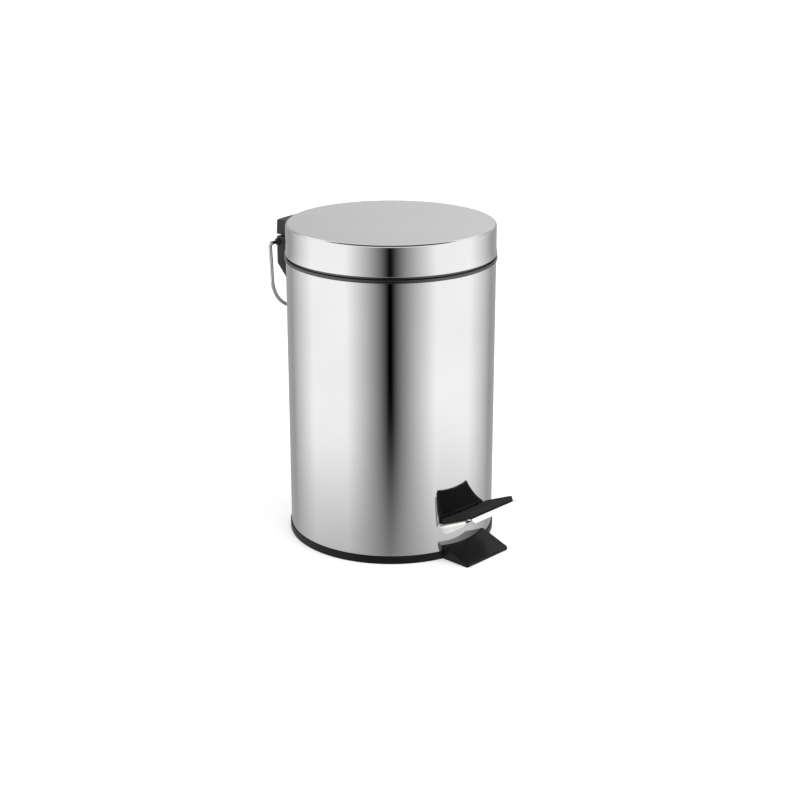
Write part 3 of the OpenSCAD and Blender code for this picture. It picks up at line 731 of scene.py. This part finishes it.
def pedal_plate():
    """Bent sheet: top, side cheeks and a front flange, with open notches at the corners."""
    half_w, front, sheet, bend_r = PLATE_HI.x, 36.5, 1.2, 2.0
    gap = BODY_R + 0.9
    flat_x, flat_s = half_w - bend_r, front - bend_r
    flange_half = 26.6
    cheek_s = [1.2, 1.5, 2.2, 3.3, 4.6, 6, 7.5, 9, 10.5, 13, 16.5, 19.5, 22.6, 25, 27.6, 29, 29.9, 30.4]
    cheek_n = [-2.4, -4.0, -5.4, -6.5, -7.2, -7.6, -7.8, -7.8, -7.7, -7.35, -6.8, -6.2, -5.6]
    cheek_n += [-5.1, -4.6, -4.2, -3.5, -2.6]
    verts, faces, index = [], [], {}

    def vert(key, point):
        if key not in index:
            index[key] = len(verts)
            verts.append(point)
        return index[key]

    xs = [-flat_x, -flange_half] + span(-24, 24, 16) + [flange_half, flat_x]
    ts = span(0, 1, 6)

    def top(i, j):
        """Top sheet: column i, row j. The rows follow the body at the rear."""
        x = xs[i]
        if j <= 6:
            s0 = rear_s(gap, x)
            return vert(("t", i, j), on_pedal(x, s0 + (cheek_s[6] + 2 - s0) * ts[j], 0))
        s = cheek_rows[j - 7]
        return vert(("t", i, j), on_pedal(x, s, 0))

    cheek_rows = [s for s in cheek_s if s > cheek_s[6] + 2] + [flat_s - 1.0, flat_s]
    rows = 7 + len(cheek_rows)
    for i in range(len(xs) - 1):
        for j in range(rows - 1):
            faces.append((top(i, j), top(i, j + 1), top(i + 1, j + 1), top(i + 1, j)))
    flange_cols = range(1, len(xs) - 1)
    turns = [math.radians(a) for a in (22.5, 45, 67.5, 90)]
    bend = [(bend_r * math.sin(a), bend_r * (math.cos(a) - 1)) for a in turns]
    drops = bend + [(bend_r, -2.9), (bend_r, -4.2)]

    def flange(i, k):
        if k < 0:
            return top(i, rows - 1)
        u, n = drops[k]
        inset = 1.3 if k == len(drops) - 1 and abs(xs[i]) > flange_half - 0.1 else 0.0
        x = xs[i] - math.copysign(inset, xs[i])
        return vert(("f", i, k), on_pedal(x, flat_s + u, n))

    for i in list(flange_cols)[:-1]:
        for k in range(-1, len(drops) - 1):
            faces.append((flange(i, k), flange(i, k + 1), flange(i + 1, k + 1), flange(i + 1, k)))
    obj = make("pedal_plate_pressing", verts, faces, PLATE)
    solidify(obj, sheet)
    parts = [cheek(side, half_w, bend_r, cheek_s, cheek_n, sheet) for side in (-1, 1)]
    for part in parts:
        combine(obj, part, "UNION")
    bevel(obj, 0.22, 2, 50)
    return obj


def solidify(obj, sheet):
    """Gives a sheet its thickness below its outer face."""
    up = sum((p.normal.z * p.area for p in obj.data.polygons))
    if up < 0:
        obj.data.flip_normals()
    m = obj.modifiers.new("sheet", "SOLIDIFY")
    m.thickness = sheet * MM
    m.offset = -1
    m.use_even_offset = True
    apply_modifiers(obj)


def cheek(side, half_w, bend_r, cheek_s, cheek_n, sheet):
    """Side cheek with its bend, overlapping the top sheet so that they join."""
    flat_x = half_w - bend_r
    turns = [math.radians(a) for a in (0, 22.5, 45, 67.5, 90)]
    bend = [(flat_x + bend_r * math.sin(a), bend_r * (math.cos(a) - 1)) for a in turns]
    verts, faces = [], []
    for s, n_low in zip(cheek_s, cheek_n):
        s_in = max(s, rear_s(BODY_R + 0.9, half_w) + 0.4)
        column = [(flat_x - 1.0, 0.0)] + bend
        column += [(half_w, -bend_r + (n_low + bend_r) * t) for t in span(0, 1, 5)[1:]]
        verts += [on_pedal(side * x, s_in, n) for x, n in column]
    m = 6 + 5
    for i in range(len(cheek_s) - 1):
        for k in range(m - 1):
            a, b = i * m + k, i * m + k + 1
            faces.append((a, b, b + m, a + m))
    obj = make("cheek", verts, faces, PLATE)
    solidify_outwards(obj, side, sheet)
    return obj


def solidify_outwards(obj, side, sheet):
    """As solidify, for a sheet whose outer face points to one side."""
    out = sum((p.normal.x * p.area for p in obj.data.polygons)) * side
    if out < 0:
        obj.data.flip_normals()
    m = obj.modifiers.new("sheet", "SOLIDIFY")
    m.thickness = sheet * MM
    m.offset = -1
    m.use_even_offset = True
    apply_modifiers(obj)


place(smooth(pedal_plate()), "pedal", "bright_plate", "pedal_plate")


def pedal_pad():
    """Rubber pad with a rounded border."""
    half_w, front, thick, corner = PAD_HI.x, 33.8, 4.2, 1.6
    gap = BODY_R + 0.8
    rear = [(x, rear_s(gap, x)) for x in span(half_w, -half_w, 28)]
    outline = arc(-half_w + corner, front - corner, corner, 180, 90, 6)
    outline += arc(half_w - corner, front - corner, corner, 90, 0, 6)
    low = [on_pedal(x, s, 0.02) for x, s in outline + rear]
    rear_high = [(x, rear_s(gap, x, thick)) for x in span(half_w, -half_w, 28)]
    high = [on_pedal(x, s, thick) for x, s in outline + rear_high]
    obj = loft("pedal_pad_rubber", [low, high], PAD)
    bevel(obj, 0.8, 4)
    return obj


place(smooth(pedal_pad()), "pedal", "pad_rubber", "pedal_pad")


def pad_studs():
    """Small raised studs in a diamond grid on top of the pad."""
    half_w, front, thick, pitch = 24.0, 31.1, 4.2, 2.0
    verts, faces = [], []
    rows = int((front - 2) / (pitch / 2))
    for row in range(rows):
        s = front - row * pitch / 2
        shift = pitch / 2 if row % 2 else 0.0
        x = -half_w + shift
        while x <= half_w:
            if s > rear_s(BODY_R + 3.0, x, thick):
                stud(verts, faces, x, s, thick, 0.66)
            x += pitch
    return make("pedal_pad_studs", verts, faces, PAD)


def stud(verts, faces, x, s, n, r):
    """One low six-sided stud with a smaller top."""
    base = len(verts)
    for scale, rise in ((1.0, -0.15), (0.94, 0.20), (0.55, 0.42)):
        for k in range(6):
            a = math.radians(60 * k + 30)
            verts.append(on_pedal(x + r * scale * math.cos(a), s + r * scale * math.sin(a), n + rise))
    for level in range(2):
        for k in range(6):
            a, b = base + 6 * level + k, base + 6 * level + (k + 1) % 6
            faces.append((a, b, b + 6, a + 6))
    faces.append(tuple(base + 12 + k for k in range(6)))
    faces.append(tuple(base + 5 - k for k in range(6)))


place(smooth(pad_studs()), "pedal", "pad_rubber")


# ---------------------------------------------------------------- inner parts


def inner_lid():
    """Plastic inner lid with a rounded skirt."""
    r_out, r_in = BODY_R - 0.7, BODY_R - 3.6
    top = LINER_HI.z
    low = LINER_LO.z
    profile = [(0, top), (40, top), (r_out - 2.4, top), (r_out, top - 2.6)]
    profile += arc(r_out - 0.6, low + 0.6, 0.6, 0, -90, 5)
    profile += arc(r_in + 0.6, low + 0.6, 0.6, -90, -180, 5)
    profile += [(r_in - 1.2, top - 3.4)]
    profile += arc(r_in - 3.4, top - 3.5, 2.1, 15, 90, 5)
    profile += [(58, top - 1.4), (57, top - 2.2), (55, top - 2.2), (54, top - 1.4)]
    profile += [(24, top - 1.4), (23, top - 2.2), (21, top - 2.2), (20, top - 1.4), (0, top - 1.4)]
    return turn("inner_lid_moulding", profile, LINER, 180)


place(smooth(inner_lid()), "lid", "liner_plastic", "lid_liner")


def bucket():
    """Inner bucket with a rolled rim and bosses for its wire handle."""
    low, top = BUCKET_LO.z, BUCKET_HI.z
    r0, r1, t = 65.5, 70.8, 1.5
    profile = [(0, low + 1.2), (0, low + 2.8), (30, low + 2.8)]
    profile += arc(r0 - t - 2.5, low + 5.3, 2.5, -90, -3, 6)
    profile += [(r0 + (r1 - r0) * k - t, low + 5 + (top - low - 7) * k) for k in span(0.05, 1, 10)]
    profile += [(r1 - t + 0.4, top - 0.6)]
    profile += arc(71.5, top - 0.8, 0.8, 90, 0, 5)
    profile += [(72.3, top - 3.6), (72.1, top - 4), (71.6, top - 4), (71.4, top - 3.6)]
    profile += [(71.2, top - 1.5), (r1, top - 1.5)]
    profile += [(r1 - (r1 - r0) * k, top - 1.5 - (top - low - 4) * k) for k in span(0.1, 1, 9)]
    profile += arc(r0 - 2, low + 2, 2, 0, -90, 6)
    profile += [(r0 - 6, low), (r0 - 7.2, low + 1.2)]
    obj = turn("bucket_moulding", profile, BUCKET, 180)
    pin_z = (Vector(JOINTS["bucket_handle_swing"]["pos_m"]) / MM).z
    for side in (-1, 1):
        boss = bar("boss", (side * 72.6, 0, pin_z), "x", 4, 2.6, BUCKET, 40)
        bevel(boss, 0.4, 3)
        combine(obj, boss, "UNION")
        combine(obj, bar("bore", (side * 74, 0, pin_z), "x", 1.28, 6, BUCKET, 24), "DIFFERENCE")
    return obj


place(smooth(bucket()), "bucket", "bucket_plastic", "bucket")


# ---------------------------------------------------------------- CAD nodes that stay

KEPT = {
    "bucket_seat": (BLACK, "black_plastic"),
    "housing_screws": (ZINC, "zinc_steel"),
    "hinge_pin": (ZINC, "zinc_steel"),
    "lever_pivot_pin": (ZINC, "zinc_steel"),
    "pivot_caps": (GREY, "grey_plastic"),
    "pivot_cap_screws": (ZINC, "zinc_steel"),
    "lid_bumpers": (SOFT, "soft_rubber"),
    "lid_screws": (ZINC, "zinc_steel"),
    "lift_pin": (ZINC, "zinc_steel"),
    "lift_rod": (ZINC, "zinc_steel"),
    "rod_stops": (ZINC, "zinc_steel"),
    "pedal_lever": (ZINC, "zinc_steel"),
    "pedal_rivets": (ZINC, "zinc_steel"),
    "bucket_handle": (WIRE, "bright_wire"),
    "bucket_grip": (BLACK, "black_plastic"),
}
for cad_name, (finish, slot_name) in KEPT.items():
    cad_object = frame["nodes"][cad_name]
    cad_object.data.materials.clear()
    cad_object.data.materials.append(finish)


# ---------------------------------------------------------------- studio

CAMERA_AZIMUTH = -46.0


def studio_floor():
    """Pale floor that fades into the backdrop."""
    mat, tree, shader, at = new_material("studio_floor", Specular_IOR_Level=0.2)
    clouds = noise(tree, at, 3, 3.0)
    colour = ramp_of(tree, clouds, [(0.3, 0.88), (0.7, 0.90)])
    rough = range_of(tree, clouds, 0.7, 0.8)
    finish_material(tree, shader, colour, rough, None)
    shader.inputs["Emission Color"].default_value = (1, 1, 1, 1)
    shader.inputs["Emission Strength"].default_value = 0.42
    rings = [0.0, 0.2, 0.5, 1, 2, 5, 12, 40]
    verts, faces, n = [], [], 64
    for r in rings:
        for k in range(n):
            a = 2 * math.pi * k / n
            verts.append((1000 * r * math.cos(a), 1000 * r * math.sin(a), -0.05))
    for i in range(len(rings) - 1):
        for k in range(n):
            a, b = i * n + k, i * n + (k + 1) % n
            faces.append((a, b, b + n, a + n))
    floor = make("studio_floor", verts, faces, mat)
    floor.visible_glossy = False


studio_floor()


def world_light():
    """Studio light: two soft side panels, a dark flag at the camera, a light from above."""
    world = bpy.data.worlds.new("studio")
    bpy.context.scene.world = world
    world.use_nodes = True
    tree = world.node_tree
    tree.nodes.clear()
    link = tree.links.new
    at = tree.nodes.new("ShaderNodeTexCoord").outputs["Generated"]
    a = math.radians(CAMERA_AZIMUTH)
    toward = (math.sin(a), -math.cos(a), 0)
    across = (math.cos(a), math.sin(a), 0)
    dots = []
    for axis in (toward, across):
        n = add_node(tree, "ShaderNodeVectorMath", operation="DOT_PRODUCT")
        n.inputs[1].default_value = axis
        link(at, n.inputs[0])
        dots.append(n.outputs["Value"])
    turn_angle = add_node(tree, "ShaderNodeMath", operation="ARCTAN2")
    link(dots[1], turn_angle.inputs[0])
    link(dots[0], turn_angle.inputs[1])
    around = add_node(
        tree, "ShaderNodeMapRange", {"From Min": -math.pi, "From Max": math.pi}
    )
    link(turn_angle.outputs["Value"], around.inputs["Value"])
    # Angles around the bin from the camera: two equal side panels, a dark flag between them
    flag_from, flag_to = -3, 1
    panel_from, panel_to = 50, 95
    rear_from = 140
    panel_level, rear_level = 1.4, 0.45
    ring_stops = [
        (-180, rear_level), (-rear_from, rear_level), (-panel_to, panel_level), (-panel_from, panel_level),
        (flag_from, 0.0), (flag_to, 0.0),
        (panel_from, panel_level), (panel_to, panel_level), (rear_from, rear_level), (180, rear_level),
    ]
    ring = ramp_of(tree, around.outputs["Result"], [(p / 360 + 0.5, v) for p, v in ring_stops], "LINEAR")
    split = tree.nodes.new("ShaderNodeSeparateXYZ")
    link(at, split.inputs["Vector"])
    up = add_node(tree, "ShaderNodeMapRange", {"From Min": -1.0, "From Max": 1.0})
    link(split.outputs["Z"], up.inputs["Value"])

    def height(degrees):
        """Where an angle above the horizon falls on the mix from straight down to straight up."""
        return (math.sin(math.radians(degrees)) + 1) / 2

    def rising(start, full):
        """A mix that grows from nothing at one height angle to all at another."""
        return ramp_of(tree, up.outputs["Result"], [(height(start), 0.0), (height(full), 1.0)], "EASE")

    low_stops = [(height(-26), 0.75), (height(-19), 0.0)]
    low_mix = ramp_of(tree, up.outputs["Result"], low_stops, "EASE")
    high_mix = rising(26, 40)
    overhead_mix = rising(49, 57)
    behind = ramp_of(
        tree, around.outputs["Result"],
        [(0.0, 1.0), (0.20, 0.0), (0.80, 0.0), (1.0, 1.0)], "EASE",
    )
    rear_up = rising(2, 12)
    rear_mix = add_node(tree, "ShaderNodeMath", operation="MULTIPLY")
    link(behind, rear_mix.inputs[0])
    link(rear_up, rear_mix.inputs[1])
    sideways = add_node(tree, "ShaderNodeMapRange", {"From Min": -0.12, "From Max": 0.12})
    link(dots[1], sideways.inputs["Value"])
    rear_wall = ramp_of(tree, sideways.outputs["Result"], [(0.0, 0.67), (1.0, 0.88)])
    floor_level, band_level, overhead_level = 0.44, 1.35, 0.10
    steps = [(low_mix, floor_level), (rear_mix.outputs["Value"], rear_wall)]
    steps += [(high_mix, band_level), (overhead_mix, overhead_level)]
    colour = ring
    for factor, shade in steps:
        n = add_node(tree, "ShaderNodeMix", data_type="RGBA")
        link(factor, n.inputs["Factor"])
        link(colour, n.inputs[6])
        if isinstance(shade, float):
            n.inputs[7].default_value = (shade, shade, shade * 1.003, 1)
        else:
            link(shade, n.inputs[7])
        colour = n.outputs[2]
    panel_light = add_node(tree, "ShaderNodeBackground", {"Strength": 1.0})
    link(colour, panel_light.inputs["Color"])
    backdrop = add_node(tree, "ShaderNodeBackground", {"Color": (1, 1, 1, 1), "Strength": 1.0})
    seen = tree.nodes.new("ShaderNodeLightPath")
    mix = tree.nodes.new("ShaderNodeMixShader")
    link(seen.outputs["Is Camera Ray"], mix.inputs["Fac"])
    link(panel_light.outputs["Background"], mix.inputs[1])
    link(backdrop.outputs["Background"], mix.inputs[2])
    out = tree.nodes.new("ShaderNodeOutputWorld")
    link(mix.outputs["Shader"], out.inputs["Surface"])


world_light()


def soft_light(name, azimuth, elevation, distance, size, power):
    """An area light that faces the bin from a direction. Azimuth is as for the camera."""
    data = bpy.data.lights.new(name, "AREA")
    data.shape = "DISK"
    data.size = size
    data.energy = power
    lamp = bpy.data.objects.new(name, data)
    bpy.context.scene.collection.objects.link(lamp)
    a, e = math.radians(azimuth), math.radians(elevation)
    back = Vector((math.sin(a) * math.cos(e), -math.cos(a) * math.cos(e), math.sin(e)))
    target = Vector((0, 0, LID_TOP * MM / 2))
    lamp.location = target + back * distance
    lamp.rotation_mode = "QUATERNION"
    lamp.rotation_quaternion = (-back).to_track_quat("-Z", "Y")
    lamp.visible_glossy = False
    return lamp


soft_light("overhead_softbox", 20, 68, 2.2, 1.4, 14)


def studio_camera():
    """Camera at the photographed viewing angle, in metres and degrees."""
    position = (-0.8833, -0.8531, 0.5296)
    tilt, heading = 71.1, -46.33
    sensor_mm, lens_mm = 36, 70.9
    data = bpy.data.cameras.new("camera")
    data.sensor_width = sensor_mm
    data.lens = lens_mm
    data.clip_start, data.clip_end = 0.05, 100
    cam = bpy.data.objects.new("camera", data)
    bpy.context.scene.collection.objects.link(cam)
    cam.location = position
    cam.rotation_euler = (math.radians(tilt), 0, math.radians(heading))
    bpy.context.scene.camera = cam


studio_camera()
bpy.context.scene.view_settings.view_transform = "Standard"
